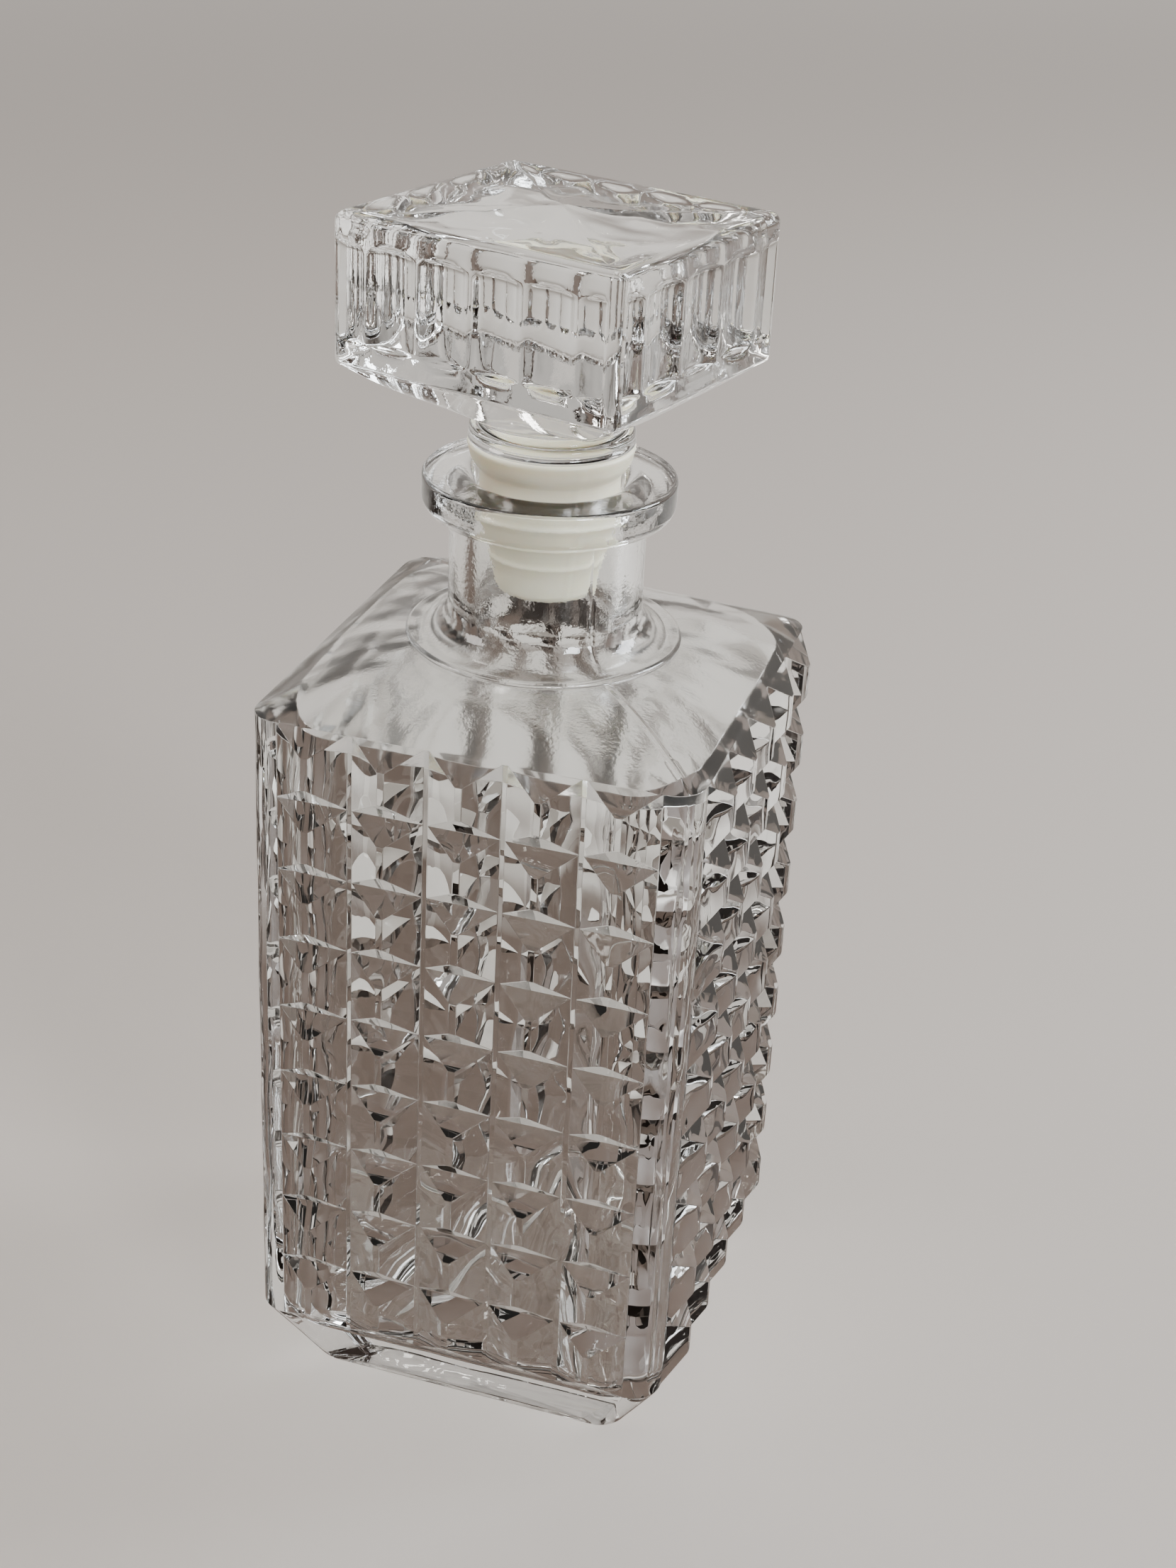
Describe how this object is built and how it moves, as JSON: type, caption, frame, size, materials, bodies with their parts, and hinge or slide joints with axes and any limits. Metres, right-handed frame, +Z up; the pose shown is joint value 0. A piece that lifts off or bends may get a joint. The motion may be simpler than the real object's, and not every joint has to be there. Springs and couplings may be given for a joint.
{
  "type": "decanter",
  "caption": "Square faceted clear glass decanter with a round neck and lip, and a square fluted glass stopper sealed by a soft ribbed plastic collar.",
  "frame": {"origin": "centre of the flat foot that the decanter stands on", "axes": "+Z up through the neck, -Y out of the front studded face, +X out of the right studded face"},
  "size_m": [0.0906, 0.0906, 0.2368],
  "materials": {
    "bottle_glass": "clear, polished",
    "stopper_glass": "clear, polished",
    "collar_plastic": "soft, satin, slightly translucent"
  },
  "bodies": {
    "bottle_body": {"bottle": "bottle_glass"},
    "seal": {"stopper_collar": "collar_plastic"},
    "glass_stopper": {"stopper": "stopper_glass"}
  },
  "joints": [
    {"name": "stopper_lift", "type": "slide", "parent": "bottle_body", "child": "seal", "axis": [0, 0, 1], "range_m": [0, 0.06]},
    {"name": "stopper_twist", "type": "hinge", "parent": "seal", "child": "glass_stopper", "pos_m": [0, 0, 0.1946], "axis": [0, 0, 1], "continuous": true}
  ]
}
